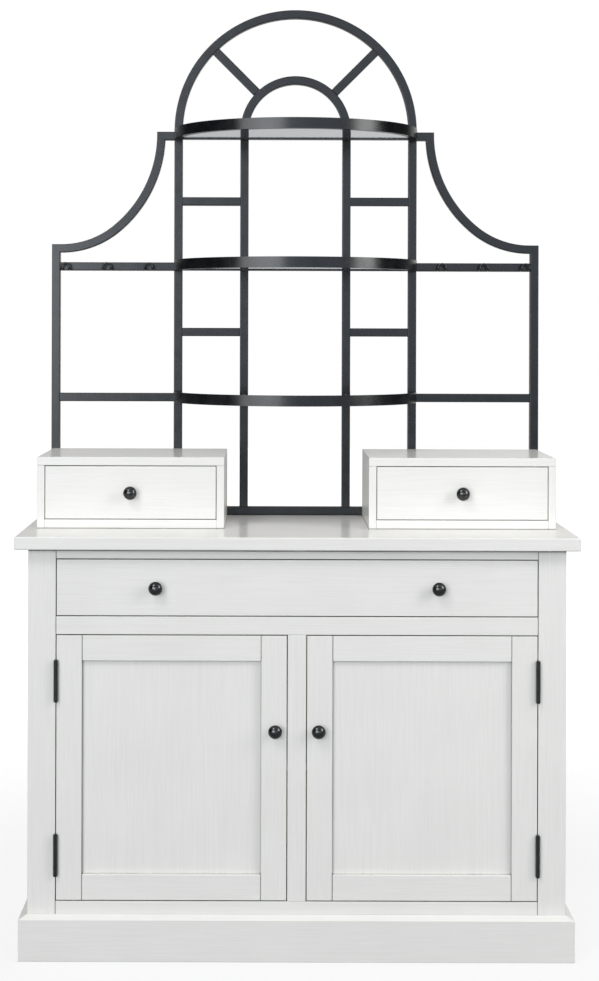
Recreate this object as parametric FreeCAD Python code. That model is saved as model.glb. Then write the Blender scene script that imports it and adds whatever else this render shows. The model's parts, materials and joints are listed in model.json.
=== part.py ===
import FreeCAD, Part
import math
import os

# Bakers rack: a painted wood base cabinet with two doors and a wide drawer, two small
# drawer boxes on its worktop, and a tubular steel hutch with three bow-fronted shelves.
# Millimetres. X runs to the right, Y to the back, Z up. The origin is on the floor,
# under the middle of the worktop.

# ---- worktop and cabinet ---------------------------------------------------------------
top_width = 1219.0           # worktop, side to side
top_depth = 457.0
top_thick = 28.0
top_height = 916.5           # floor to the worktop's upper face
front_overhang = 25.5        # worktop past the cabinet's face
side_overhang = 27.0         # and past each side
top_edge_round = 2.5

leg_width = 60.0             # along X
leg_depth = 45.0             # along Y
frame_thick = 22.0           # face frame, side rails and rear rails
top_rail_height = 21.5
drawer_bay_height = 125.0    # opening for the wide drawer
middle_rail_height = 39.0
base_rail_top = 126.0        # height of the bottom rail's upper edge and the cabinet floor
base_rail_height = 60.0
centre_stile_width = 40.0
upper_rail_height = 80.0     # side and rear rails under the worktop
reveal = 2.0                 # gap round doors and the wide drawer front
edge_ease = 0.8              # chamfer on every sawn edge, which draws a line at each joint

side_panel_thick = 8.0
side_panel_recess = 8.0
panel_tongue = 8.0           # how far a panel stands in its groove
back_panel_thick = 5.0
back_panel_margin = 4.0
floor_thick = 16.0
divider_thick = 16.0
cupboard_shelf_thick = 16.0
cupboard_shelf_height = 402.0
cupboard_shelf_clearance = 1.0
cupboard_shelf_front = 28.0  # shelf edge behind the cabinet's face
cupboard_shelf_rear = 8.5    # shelf edge ahead of the back panel
pin_radius = 2.5
pin_length = 20.0
pin_setback = 9.0            # pin from the shelf's front edge
pin_rear_setback = 25.0
pin_hole_pitch = 64.0
pin_hole_count = 3

plinth_thick = 17.5
plinth_face_height = 90.0
plinth_height = 98.0         # top of the sloping shoulder, where it meets the cabinet
plinth_floor_gap = 1.0
glide_height = 3.0
glide_radius = 14.0

# ---- wide drawer -----------------------------------------------------------------------
drawer_front_thick = 19.0
drawer_side_thick = 15.0
drawer_end_thick = 12.0
drawer_side_height = 95.0
drawer_rear_gap = 5.5        # drawer's back ahead of the upper rear rail
drawer_bottom_thick = 6.0
drawer_bottom_lift = 8.0
drawer_bottom_groove = 6.0
drawer_side_gap = 5.0
runner_width = 11.6
runner_height = 16.4
runner_front = 43.0          # runner's end behind the cabinet's face
runner_gap = 0.3
cleat_height = 40.0
knob_spacing = 612.0

# ---- doors and their hinges ------------------------------------------------------------
door_thick = 20.0
door_stile_width = 55.0
door_rail_width = 55.0
door_panel_thick = 6.0
door_panel_recess = 8.0
door_knob_edge = 25.0        # knob from the door's free edge
door_knob_drop = 205.0       # knob below the door's top
hinge_length = 89.0
hinge_inset = 100.0          # hinge's middle from the door opening's top or bottom
hinge_leaf_thick = 2.0
hinge_leaf_depth = 18.0
hinge_barrel_radius = 4.6
hinge_pin_radius = 2.2
hinge_pin_clearance = 0.05
hinge_head_radius = 3.6
hinge_head_height = 1.5
hinge_knuckles = 5
hinge_gap = 0.3
catch_length = 46.0
catch_height = 14.0
catch_depth = 14.0
catch_offset = 60.0          # catch's near end from the middle of the cabinet
strike_thick = 1.5
strike_height = 11.0
strike_gap = 0.3
strike_lift = 2.0

# ---- knobs -----------------------------------------------------------------------------
knob_radius = 15.0
knob_length = 25.0
knob_foot_radius = 8.0
knob_foot_height = 2.5
knob_waist_radius = 5.5
knob_waist_height = 6.0
knob_neck_radius = 5.0
knob_neck_height = 10.5
knob_flare_radius = 11.0
knob_flare_height = 12.0
knob_dome_height = 9.5
knob_screw_radius = 2.0
knob_screw_depth = 10.0
knob_screw_head = 4.0
knob_screw_head_height = 2.5

# ---- small drawer boxes ----------------------------------------------------------------
box_width = 420.0
box_setback = 157.0          # box front behind the worktop's front edge
box_side_thick = 17.0
box_top_thick = 19.0
box_base_thick = 20.0
box_back_thick = 8.0
box_height = 160.0
box_hutch_gap = 1.0
box_edge_round = 1.5
small_reveal = 1.5
small_front_thick = 16.0
small_wall_thick = 10.0
small_wall_height = 90.0
small_side_gap = 1.0
small_run_gap = 0.3
small_end_gap = 1.0
small_bottom_thick = 4.0
small_bottom_lift = 7.0
small_bottom_groove = 4.0

# ---- hutch -----------------------------------------------------------------------------
tube = 20.0                  # square tube
tube_wall = 1.5
tube_corner = 2.0            # rounding of its outer edges
hutch_rear_margin = 7.0      # hutch's rear face ahead of the worktop's rear edge
hutch_side_margin = 4.0      # hutch past the cabinet at each side
wing_width = 294.5           # side post to centre panel, over the side post
inner_width = 266.0          # inner posts, over both
lowest_level_rise = 283.0    # middle of the lowest wing rail above the worktop
level_pitch = 315.0
spring_rise = 12.0           # the arches begin this far above the top level
scroll_flat = 22.0           # each wing's sweep: level run beside the side post,
scroll_low_radius = 199.0    # hollow side of the tighter bend after it,
scroll_low_turn = 39.5       # that bend in degrees,
scroll_high_radius = 286.0   # the wider bend on up to vertical,
scroll_neck = 5.5            # and the straight end in the corner with the top rail
spoke_angle = 45.0

band_height = 25.0           # bow-fronted shelf frames
band_thick = 3.5
shelf_depth = 245.0
ledge_width = 12.0           # ledge under the glass, along the bow
ledge_thick = 2.5
rear_bar_width = 20.0        # flat bar under the glass's rear edge
glass_thick = 5.0
glass_gap = 1.0

hook_wire_radius = 2.5
hook_half_width = 9.5
hook_reach = 22.0
hook_bend = 4.0
hook_drop = 7.0              # hook's root below the rail's middle
hook_upright = 0.5           # straight wire between the bend and the bow
hook_inner_gap = 60.0        # first hook from the centre panel
hook_outer_gap = 34.0        # last hook from the outside of the wing
hook_count = 3

bolt_radius = 3.0
bolt_head_radius = 5.5
bolt_head_height = 3.3
bolt_clearance = 0.3
bolt_reach = 16.0            # wing bolts into the rail inserts
insert_flange = 2.0
insert_depth = 18.0
insert_clearance = 0.1
nut_radius = 5.5
nut_length = 4.0
shelf_bolt_lift = 16.5       # shelf bolts above the band's lower edge, clear of the glass
wood_screw_radius = 2.5
wood_screw_length = 42.0
wood_screw_head = 4.5
wood_screw_head_height = 2.5
wing_screw_inner_gap = 48.0  # sill screws of a wing from the centre panel
wing_screw_outer_gap = 64.0  # and from the outside of the wing
cut_margin = 1.0             # cutting tools run this far past what they cut

# ---- places that follow from the sizes -------------------------------------------------
top_front = -top_depth / 2
top_back = top_depth / 2
cabinet_half = top_width / 2 - side_overhang
face = top_front + front_overhang                  # front of the cabinet
frame_back = top_back - back_panel_thick           # rear face of legs and rails
opening_half = cabinet_half - leg_width
cabinet_top = top_height - top_thick
drawer_bay_top = cabinet_top - top_rail_height
drawer_bay_base = drawer_bay_top - drawer_bay_height
door_bay_top = drawer_bay_base - middle_rail_height
base_rail_base = base_rail_top - base_rail_height
upper_rail_base = cabinet_top - upper_rail_height
drawer_mid = (drawer_bay_top + drawer_bay_base) / 2
leg_front_inner = face + leg_depth                 # back of the front legs
leg_rear_inner = frame_back - leg_depth            # front of the rear legs
rear_rail_front = frame_back - frame_thick
side_inner = cabinet_half - frame_thick
door_back = face + door_thick
hinge_axis_x = opening_half - reveal / 2
hinge_axis_y = face - math.sqrt((hinge_barrel_radius + hinge_gap) ** 2 - (reveal / 2) ** 2)
hinge_heights = (door_bay_top - hinge_inset, base_rail_top + hinge_inset)

box_front = top_front + box_setback
hutch_back = top_back - hutch_rear_margin
hutch_front = hutch_back - tube
hutch_middle = (hutch_front + hutch_back) / 2
box_back = hutch_front - box_hutch_gap
box_left = -cabinet_half
box_right = box_left + box_width
box_top = top_height + box_height
box_lid_base = box_top - box_top_thick
box_floor = top_height + box_base_thick

hutch_half = cabinet_half + hutch_side_margin
centre_half = hutch_half - wing_width
inner_half = inner_width / 2
levels = [top_height + lowest_level_rise + level_pitch * i for i in range(3)]
rung_levels = [(levels[i] + levels[i + 1]) / 2 for i in range(2)]
spring_height = levels[2] + spring_rise
sill_screw_x = (centre_half - tube + inner_half) / 2
shelf_bolt_x = tube / 2 - inner_half
wing_screw_x = (centre_half + wing_screw_inner_gap, hutch_half - wing_screw_outer_gap)
first_hook_x = centre_half + hook_inner_gap
last_hook_x = hutch_half - hook_outer_gap
hook_pitch = (last_hook_x - first_hook_x) / (hook_count - 1)
wing_rail_end = centre_half + insert_flange
scroll_base = levels[2] - tube / 2
scroll_shift = scroll_high_radius - scroll_low_radius
high_bend_z = scroll_base + tube - scroll_neck
low_bend_z = high_bend_z - scroll_shift * math.cos(math.radians(scroll_low_turn))
low_bend_x = scroll_flat - hutch_half              # bend centres of the left wing
high_bend_x = low_bend_x - scroll_shift * math.sin(math.radians(scroll_low_turn))
scroll_foot = low_bend_z - scroll_low_radius       # upper face of the level run
scroll_head = high_bend_x + scroll_high_radius     # hollow side of the straight end


# ---- helpers ---------------------------------------------------------------------------
def vec(x, y, z):
    return FreeCAD.Vector(x, y, z)


def block(x0, x1, y0, y1, z0, z1):
    return Part.makeBox(x1 - x0, y1 - y0, z1 - z0, vec(x0, y0, z0))


def board(x0, x1, y0, y1, z0, z1):
    """Solid wood board with its edges eased."""
    sawn = block(x0, x1, y0, y1, z0, z1)
    return sawn.makeChamfer(edge_ease, sawn.Edges)


def rod(radius, start, end):
    way = end - start
    return Part.makeCylinder(radius, way.Length, start, way)


def mirrored(shape):
    return shape.mirror(vec(0, 0, 0), vec(1, 0, 0))


def both_sides(shapes):
    return list(shapes) + [mirrored(s) for s in shapes]


def cut_all(shape, tools):
    for tool in tools:
        shape = shape.cut(tool)
    return shape


def join_all(shapes):
    whole = shapes[0]
    for shape in shapes[1:]:
        whole = whole.fuse(shape)
    return whole.removeSplitter()


def prism(outline, way):
    return Part.Face(Part.makePolygon(outline + outline[:1])).extrude(way)


def plate_xz(points, y0, y1):
    """Flat plate whose outline lies in the XZ plane."""
    return prism([vec(x, y0, z) for x, z in points], vec(0, y1 - y0, 0))


def plate_xy(points, z0, z1):
    """Flat plate whose outline lies in the XY plane."""
    return prism([vec(x, y, z0) for x, y in points], vec(0, 0, z1 - z0))


def save(name, *shapes):
    solids = [solid for shape in shapes for solid in shape.Solids]
    Part.makeCompound(solids).exportStep("parts/" + name + ".step")


# ---- base cabinet ----------------------------------------------------------------------
def pin_heights():
    base = cupboard_shelf_height - pin_radius
    return [base + pin_hole_pitch * (i - (pin_hole_count - 1) / 2) for i in range(pin_hole_count)]


def pin_rows():
    front_row = face + cupboard_shelf_front + pin_setback
    rear_row = frame_back - cupboard_shelf_rear - pin_rear_setback
    return front_row, rear_row


def pin_holes(x0, x1, y):
    return [rod(pin_radius, vec(x0, y, z), vec(x1, y, z)) for z in pin_heights()]


def hinge_mortise(x0, x1, middle):
    half = hinge_length / 2
    return block(x0, x1, face - cut_margin, face + hinge_leaf_depth, middle - half, middle + half)


def side_panel():
    """Left side panel; its edges stand in the grooves of the legs and rails."""
    outer = cabinet_half - side_panel_recess
    return block(-outer, side_panel_thick - outer,
                 leg_front_inner - panel_tongue, leg_rear_inner + panel_tongue,
                 base_rail_top - panel_tongue, upper_rail_base + panel_tongue)


def front_leg():
    leg = board(-cabinet_half, -opening_half, face, leg_front_inner, glide_height, cabinet_top)
    pocket_end = -opening_half - hinge_leaf_thick
    pockets = [hinge_mortise(pocket_end, -opening_half, z) for z in hinge_heights]
    pockets += pin_holes(-opening_half - pin_length / 2, -opening_half, pin_rows()[0])
    return cut_all(leg, pockets + [side_panel()])


def rear_leg():
    leg = board(-cabinet_half, -opening_half, leg_rear_inner, frame_back, glide_height, cabinet_top)
    pockets = pin_holes(-opening_half - pin_length / 2, -opening_half, pin_rows()[1])
    return cut_all(leg, pockets + [side_panel()])


def face_frame():
    back = face + frame_thick
    rails = [(drawer_bay_top, cabinet_top), (door_bay_top, drawer_bay_base),
             (base_rail_base, base_rail_top)]
    pieces = [board(-opening_half, opening_half, face, back, low, high) for low, high in rails]
    half = centre_stile_width / 2
    pieces.append(board(-half, half, face, back, base_rail_top, door_bay_top))
    return pieces


def side_rails():
    spans = [(upper_rail_base, cabinet_top), (base_rail_base, base_rail_top)]
    rails = [board(-cabinet_half, -side_inner, leg_front_inner, leg_rear_inner, low, high)
             for low, high in spans]
    return [rail.cut(side_panel()) for rail in rails]


def rear_rails():
    spans = [(upper_rail_base, cabinet_top), (base_rail_base, base_rail_top)]
    return [block(-opening_half, opening_half, rear_rail_front, frame_back, low, high)
            for low, high in spans]


def cabinet_floor():
    panel = block(-side_inner, side_inner, face + frame_thick, rear_rail_front,
                  base_rail_top - floor_thick, base_rail_top)
    legs = [block(-cabinet_half, -opening_half, face, leg_front_inner, 0, cabinet_top),
            block(-cabinet_half, -opening_half, leg_rear_inner, frame_back, 0, cabinet_top)]
    return cut_all(panel, both_sides(legs))


def divider():
    half = divider_thick / 2
    panel = block(-half, half, face + frame_thick, frame_back, base_rail_top, drawer_bay_base)
    holes = [hole for y in pin_rows() for hole in pin_holes(-half, half, y)]
    rail_notch = block(-half, half, face, face + frame_thick, door_bay_top, drawer_bay_base)
    return cut_all(panel, holes + [rail_notch])


def cupboard_shelf():
    left = cupboard_shelf_clearance - opening_half
    right = -divider_thick / 2 - cupboard_shelf_clearance
    return board(left, right, face + cupboard_shelf_front, frame_back - cupboard_shelf_rear,
                 cupboard_shelf_height, cupboard_shelf_height + cupboard_shelf_thick)


def shelf_pins():
    """Four pins under the left cupboard shelf: two in the legs, two in the divider."""
    z = cupboard_shelf_height - pin_radius
    half_pin = pin_length / 2
    divider_face = -divider_thick / 2
    pins = []
    for y in pin_rows():
        leg_end = vec(-opening_half - half_pin, y, z)
        pins.append(rod(pin_radius, leg_end, vec(half_pin - opening_half, y, z)))
        pins.append(rod(pin_radius, vec(divider_face - half_pin, y, z), vec(0, y, z)))
    return pins


def plinth():
    """Front and side boards, mitred at the corners, with a sloping shoulder."""
    outer = cabinet_half + plinth_thick
    front = face - plinth_thick
    section = [(0, plinth_floor_gap), (0, plinth_face_height), (plinth_thick, plinth_height),
               (plinth_thick, plinth_floor_gap)]
    front_board = prism([vec(-outer, front + u, z) for u, z in section], vec(2 * outer, 0, 0))
    side_board = prism([vec(u - outer, front, z) for u, z in section], vec(0, top_back - front, 0))
    front_plan = [(-outer, front), (outer, front), (cabinet_half, face), (-cabinet_half, face)]
    side_plan = [(-outer, front), (-cabinet_half, face), (-cabinet_half, top_back), (-outer, top_back)]
    front_board = front_board.common(plate_xy(front_plan, 0, plinth_height))
    side_board = side_board.common(plate_xy(side_plan, 0, plinth_height))
    return [front_board] + both_sides([side_board])


def glides():
    x = cabinet_half - leg_width / 2
    middles = [face + leg_depth / 2, frame_back - leg_depth / 2]
    left = [Part.makeCylinder(glide_radius, glide_height, vec(-x, y, 0)) for y in middles]
    return both_sides(left)


def worktop():
    top = block(-top_width / 2, top_width / 2, top_front, top_back, cabinet_top, top_height)
    top = top.makeFillet(top_edge_round, top.Edges)
    return cut_all(top, [wood_screw_shank(x) for x in screw_places()])


def back_panel():
    half = cabinet_half - back_panel_margin
    return block(-half, half, frame_back, top_back, base_rail_base, cabinet_top)


# ---- knobs -----------------------------------------------------------------------------
def knob_profile():
    """Half outline of a turned knob: foot, waist, flared underside and domed face, bored for a screw."""
    dome_radius = (knob_radius ** 2 + knob_dome_height ** 2) / (2 * knob_dome_height)
    half_angle = math.asin(knob_radius / dome_radius) / 2
    crown = vec(dome_radius * math.sin(half_angle), 0,
                knob_length - dome_radius * (1 - math.cos(half_angle)))
    start = vec(knob_screw_radius, 0, 0)
    base = vec(knob_foot_radius, 0, 0)
    foot = vec(knob_foot_radius, 0, knob_foot_height)
    waist = vec(knob_waist_radius, 0, knob_waist_height)
    neck = vec(knob_neck_radius, 0, knob_neck_height)
    flare = vec(knob_flare_radius, 0, knob_flare_height)
    rim = vec(knob_radius, 0, knob_length - knob_dome_height)
    apex = vec(0, 0, knob_length)
    bore_end = vec(0, 0, knob_screw_depth)
    bore_rim = vec(knob_screw_radius, 0, knob_screw_depth)
    edges = [Part.LineSegment(start, base), Part.LineSegment(base, foot),
             Part.Arc(foot, waist, neck), Part.Arc(neck, flare, rim), Part.Arc(rim, crown, apex),
             Part.LineSegment(apex, bore_end), Part.LineSegment(bore_end, bore_rim),
             Part.LineSegment(bore_rim, start)]
    return Part.Face(Part.Wire([edge.toShape() for edge in edges]))


def knob(x, surface_y, z, panel_thick):
    """Turned knob on a panel's front face, with its screw from the panel's back."""
    turned = knob_profile().revolve(vec(0, 0, 0), vec(0, 0, 1), 360)
    shank = Part.makeCylinder(knob_screw_radius, knob_screw_depth + panel_thick, vec(0, 0, -panel_thick))
    head = Part.makeCylinder(knob_screw_head, knob_screw_head_height,
                             vec(0, 0, -panel_thick - knob_screw_head_height))
    pieces = [turned, shank.fuse(head).removeSplitter()]
    for piece in pieces:
        piece.rotate(vec(0, 0, 0), vec(1, 0, 0), 90)
        piece.translate(vec(x, surface_y, z))
    return pieces


def knob_hole(x, surface_y, z, panel_thick):
    start = vec(x, surface_y - cut_margin, z)
    return rod(knob_screw_radius, start, vec(x, surface_y + panel_thick + cut_margin, z))


# ---- wide drawer -----------------------------------------------------------------------
def wide_drawer_front():
    half = opening_half - reveal
    front = board(-half, half, face, face + drawer_front_thick,
                  drawer_bay_base + reveal, drawer_bay_top - reveal)
    hole = knob_hole(-knob_spacing / 2, face, drawer_mid, drawer_front_thick)
    return cut_all(front, both_sides([hole]))


def wide_drawer_box():
    """Two grooved sides, the inner front and the back, and the bottom in its grooves."""
    outer = opening_half - drawer_side_gap
    inner = outer - drawer_side_thick
    front = face + drawer_front_thick
    back = rear_rail_front - drawer_rear_gap
    low = drawer_mid - drawer_side_height / 2
    high = drawer_mid + drawer_side_height / 2
    groove_half = runner_height / 2 + runner_gap
    groove_inner = opening_half - runner_width - runner_gap
    groove = block(-outer, -groove_inner, face + runner_front - runner_gap, back,
                   drawer_mid - groove_half, drawer_mid + groove_half)
    seat = drawer_bottom_groove
    base = low + drawer_bottom_lift
    bottom = block(-inner - seat, inner + seat, front + drawer_end_thick - seat,
                   back - drawer_end_thick + seat, base, base + drawer_bottom_thick)
    side = cut_all(block(-outer, -inner, front, back, low, high), [groove, bottom])
    sub_front = block(-inner, inner, front, front + drawer_end_thick, low, high)
    end = block(-inner, inner, back - drawer_end_thick, back, low, high)
    knob_x = -knob_spacing / 2
    screw_head = rod(knob_screw_head, vec(knob_x, front, drawer_mid),
                     vec(knob_x, front + drawer_end_thick, drawer_mid))
    sub_front = cut_all(sub_front, both_sides([screw_head]) + [bottom])
    return both_sides([side]) + [sub_front, end.cut(bottom), bottom]


def runner():
    half = runner_height / 2
    return block(-opening_half, runner_width - opening_half, face + runner_front, rear_rail_front,
                 drawer_mid - half, drawer_mid + half)


def cleat():
    half = cleat_height / 2
    return block(-side_inner, -opening_half, leg_front_inner, leg_rear_inner,
                 drawer_mid - half, drawer_mid + half)


# ---- doors -----------------------------------------------------------------------------
def door_place():
    """Left door: hinge edge, free edge, bottom and top."""
    return (-opening_half + reveal, -centre_stile_width / 2 - reveal,
            base_rail_top + reveal, door_bay_top - reveal)


def door_knob_place():
    free_edge, high = door_place()[1], door_place()[3]
    return free_edge - door_knob_edge, high - door_knob_drop


def door_panel():
    hinge_edge, free_edge, low, high = door_place()
    edge = door_stile_width - panel_tongue
    rim = door_rail_width - panel_tongue
    return block(hinge_edge + edge, free_edge - edge, face + door_panel_recess,
                 face + door_panel_recess + door_panel_thick, low + rim, high - rim)


def door_frame():
    """Left door: hinge stile, free stile, lower and upper rail, grooved for the panel."""
    hinge_edge, free_edge, low, high = door_place()
    inner_left = hinge_edge + door_stile_width
    inner_right = free_edge - door_stile_width
    pockets = [hinge_mortise(hinge_edge, hinge_edge + hinge_leaf_thick, z) for z in hinge_heights]
    knob_x, knob_z = door_knob_place()
    hinge_stile = cut_all(board(hinge_edge, inner_left, face, door_back, low, high), pockets)
    free_stile = board(inner_right, free_edge, face, door_back, low, high)
    free_stile = free_stile.cut(knob_hole(knob_x, face, knob_z, door_thick))
    lower = board(inner_left, inner_right, face, door_back, low, low + door_rail_width)
    upper = board(inner_left, inner_right, face, door_back, high - door_rail_width, high)
    return [piece.cut(door_panel()) for piece in (hinge_stile, free_stile, lower, upper)]


def knuckle_spans(middle):
    step = hinge_length / hinge_knuckles
    base = middle - hinge_length / 2
    return [(base + step * i, base + step * (i + 1) - hinge_gap) for i in range(hinge_knuckles)]


def barrel(radius, low, high):
    return Part.makeCylinder(radius, high - low, vec(-hinge_axis_x, hinge_axis_y, low))


def hinge_leaf(middle, on_door):
    """One leaf of a left-hand butt hinge with its own knuckles, cleared for the other's."""
    spans = knuckle_spans(middle)
    low, high = spans[0][0], spans[-1][1]
    own = [span for i, span in enumerate(spans) if (i % 2 == 1) == on_door]
    other = [span for i, span in enumerate(spans) if (i % 2 == 1) != on_door]
    near = -opening_half + reveal if on_door else -opening_half - hinge_leaf_thick
    leaf = block(near, near + hinge_leaf_thick, hinge_axis_y, face + hinge_leaf_depth, low, high)
    leaf = cut_all(leaf, [barrel(hinge_barrel_radius + hinge_gap, a - hinge_gap, b + hinge_gap)
                          for a, b in other])
    leaf = join_all([leaf] + [barrel(hinge_barrel_radius, a, b) for a, b in own])
    bore = hinge_pin_radius + (hinge_pin_clearance if on_door else 0.0)
    return leaf.cut(barrel(bore, low, high))


def hinge_pin(middle):
    spans = knuckle_spans(middle)
    low, high = spans[0][0], spans[-1][1]
    return join_all([barrel(hinge_pin_radius, low, high),
                     barrel(hinge_head_radius, high, high + hinge_head_height),
                     barrel(hinge_head_radius, low - hinge_head_height, low)])


def door_strike():
    low = base_rail_top + reveal + strike_lift
    return block(-catch_offset - catch_length, -catch_offset, door_back, door_back + strike_thick,
                 low, low + strike_height)


def catch():
    y = door_back + strike_thick + strike_gap
    return block(-catch_offset - catch_length, -catch_offset, y, y + catch_depth,
                 base_rail_top, base_rail_top + catch_height)


# ---- small drawer boxes ----------------------------------------------------------------
def box_lid():
    lid = block(box_left, box_right, box_front, box_back, box_lid_base, box_top)
    return lid.makeFillet(box_edge_round, lid.Edges)


def box_case():
    """Two sides, the base and the back of the left box."""
    inner_left = box_left + box_side_thick
    inner_right = box_right - box_side_thick
    inner_back = box_back - box_back_thick
    return [board(box_left, inner_left, box_front, box_back, top_height, box_lid_base),
            board(inner_right, box_right, box_front, box_back, top_height, box_lid_base),
            board(inner_left, inner_right, box_front, box_back, top_height, box_floor),
            block(inner_left, inner_right, inner_back, box_back, box_floor, box_lid_base)]


def small_drawer_middle():
    return (box_left + box_right) / 2, (box_floor + box_lid_base) / 2


def small_drawer_front():
    x, z = small_drawer_middle()
    margin = box_side_thick + small_reveal
    front = board(box_left + margin, box_right - margin, box_front, box_front + small_front_thick,
                  box_floor + small_reveal, box_lid_base - small_reveal)
    return front.cut(knob_hole(x, box_front, z, small_front_thick))


def small_drawer_box():
    """Two sides, the back and the bottom of the left small drawer."""
    outer_left = box_left + box_side_thick + small_side_gap
    outer_right = box_right - box_side_thick - small_side_gap
    inner_left = outer_left + small_wall_thick
    inner_right = outer_right - small_wall_thick
    front = box_front + small_front_thick
    back = box_back - box_back_thick - small_end_gap
    low = box_floor + small_run_gap
    high = low + small_wall_height
    seat = small_bottom_groove
    base = low + small_bottom_lift
    bottom = block(inner_left - seat, inner_right + seat, front, back - small_wall_thick + seat,
                   base, base + small_bottom_thick)
    walls = [block(outer_left, inner_left, front, back, low, high),
             block(inner_right, outer_right, front, back, low, high),
             block(inner_left, inner_right, back - small_wall_thick, back, low, high)]
    return [wall.cut(bottom) for wall in walls] + [bottom]


# ---- hutch -----------------------------------------------------------------------------
def rounded_bar(x0, x1, z0, z1, way):
    """Bar as deep as the tube, with its four edges along a direction rounded."""
    bar = block(x0, x1, hutch_front, hutch_back, z0, z1)
    along = [edge for edge in bar.Edges if edge.tangentAt(0).isParallel(way, 0.01)]
    return bar.makeFillet(tube_corner, along)


def tube_up(x0, z0, z1):
    outer = rounded_bar(x0, x0 + tube, z0, z1, vec(0, 0, 1))
    return outer.cut(block(x0 + tube_wall, x0 + tube - tube_wall,
                           hutch_front + tube_wall, hutch_back - tube_wall, z0, z1))


def tube_across(x0, x1, z0):
    outer = rounded_bar(x0, x1, z0, z0 + tube, vec(1, 0, 0))
    return outer.cut(block(x0, x1, hutch_front + tube_wall, hutch_back - tube_wall,
                           z0 + tube_wall, z0 + tube - tube_wall))


def bent_tube(centre_x, centre_z, inner_radius, start, sweep):
    """Square tube bent about an axis along Y, from one angle above +X through a sweep."""
    near = centre_x + inner_radius
    bar = rounded_bar(near, near + tube, centre_z, centre_z + tube, vec(0, 0, 1))
    outer = min(bar.Faces, key=lambda side: side.CenterOfMass.z)
    hollow = tube - 2 * tube_wall
    inner = Part.makePlane(hollow, hollow, vec(near + tube_wall, hutch_front + tube_wall, centre_z))

    def swept(profile):
        profile.rotate(vec(centre_x, 0, centre_z), vec(0, -1, 0), start)
        return profile.revolve(vec(centre_x, 0, centre_z), vec(0, -1, 0), sweep)
    return swept(outer).cut(swept(inner))


def wing_bolt_hole(z):
    """Hole for a wing bolt through the left post of the centre panel."""
    start = vec(-centre_half - cut_margin, hutch_middle, z)
    return rod(bolt_radius + bolt_clearance, start, vec(start.x + tube + 2 * cut_margin, hutch_middle, z))


def wing_bolt_levels():
    return [top_height + tube / 2] + levels


def shelf_bolt_levels():
    return [level - tube / 2 + shelf_bolt_lift for level in levels]


def shelf_bolt_hole(z, radius):
    """Hole through the left inner post and the shelf's tab and nut."""
    end = vec(shelf_bolt_x, hutch_front - band_thick - nut_length, z)
    return rod(radius, end, vec(shelf_bolt_x, hutch_back + cut_margin, z))


def outer_post():
    post = tube_up(-centre_half, top_height, spring_height)
    return cut_all(post, [wing_bolt_hole(z) for z in wing_bolt_levels()])


def inner_post():
    post = tube_up(-inner_half, top_height + tube, spring_height)
    radius = bolt_radius + bolt_clearance
    return cut_all(post, [shelf_bolt_hole(z, radius) for z in shelf_bolt_levels()])


def arch(half_width):
    return bent_tube(0.0, spring_height, half_width - tube, 0.0, 180.0)


def spoke():
    """Left spoke, coped to both arches."""
    bar = tube_across(inner_half - tube, centre_half, -tube / 2)
    bar.rotate(vec(0, 0, 0), vec(0, -1, 0), 180.0 - spoke_angle)
    bar.translate(vec(0, 0, spring_height))
    axis_start = vec(0, hutch_front, spring_height)
    depth = vec(0, 1, 0)
    outer = Part.makeCylinder(centre_half - tube, tube, axis_start, depth)
    inner = Part.makeCylinder(inner_half, tube, axis_start, depth)
    return bar.common(outer).cut(inner)


def screw_places():
    places = (sill_screw_x,) + wing_screw_x
    return [-x for x in places] + list(places)


def wood_screw_shank(x, radius=wood_screw_radius):
    top = top_height + tube
    return rod(radius, vec(x, hutch_middle, top), vec(x, hutch_middle, top - wood_screw_length))


def wood_screw(x):
    seat = vec(x, hutch_middle, top_height + tube)
    head = Part.makeCylinder(wood_screw_head, wood_screw_head_height, seat)
    return wood_screw_shank(x).fuse(head).removeSplitter()


def centre_sill():
    sill = tube_across(tube - centre_half, centre_half - tube, top_height)
    hole = wood_screw_shank(sill_screw_x, wood_screw_radius + bolt_clearance)
    return cut_all(sill, both_sides([hole]))


def rungs():
    return [tube_across(tube - centre_half, -inner_half, z - tube / 2) for z in rung_levels]


def side_post():
    """Left side post, mitred under the sweep's level run."""
    post = tube_up(-hutch_half, top_height, scroll_foot)
    inner = tube - hutch_half
    above = [(inner, scroll_foot - tube), (-hutch_half, scroll_foot), (inner, scroll_foot)]
    return post.cut(plate_xz(above, hutch_front, hutch_back))


def scroll():
    """Left sweep from the side post up to the short top rail, mitred at both ends."""
    high_turn = 90.0 - scroll_low_turn
    low = scroll_foot - tube
    high = scroll_base + tube
    pieces = [tube_across(-hutch_half, low_bend_x, low),
              bent_tube(low_bend_x, low_bend_z, scroll_low_radius, -90.0, scroll_low_turn),
              bent_tube(high_bend_x, high_bend_z, scroll_high_radius, -high_turn, high_turn),
              tube_up(scroll_head, high_bend_z, high)]
    foot = [(tube - hutch_half, low), (-hutch_half, scroll_foot), (-hutch_half, low)]
    past_right = scroll_head + tube + cut_margin
    past_top = high + cut_margin
    tip = [(scroll_head, high), (scroll_head + tube, scroll_base), (past_right, scroll_base),
           (past_right, past_top), (scroll_head, past_top)]
    ends = [plate_xz(outline, hutch_front, hutch_back) for outline in (foot, tip)]
    return cut_all(join_all(pieces), ends)


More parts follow.
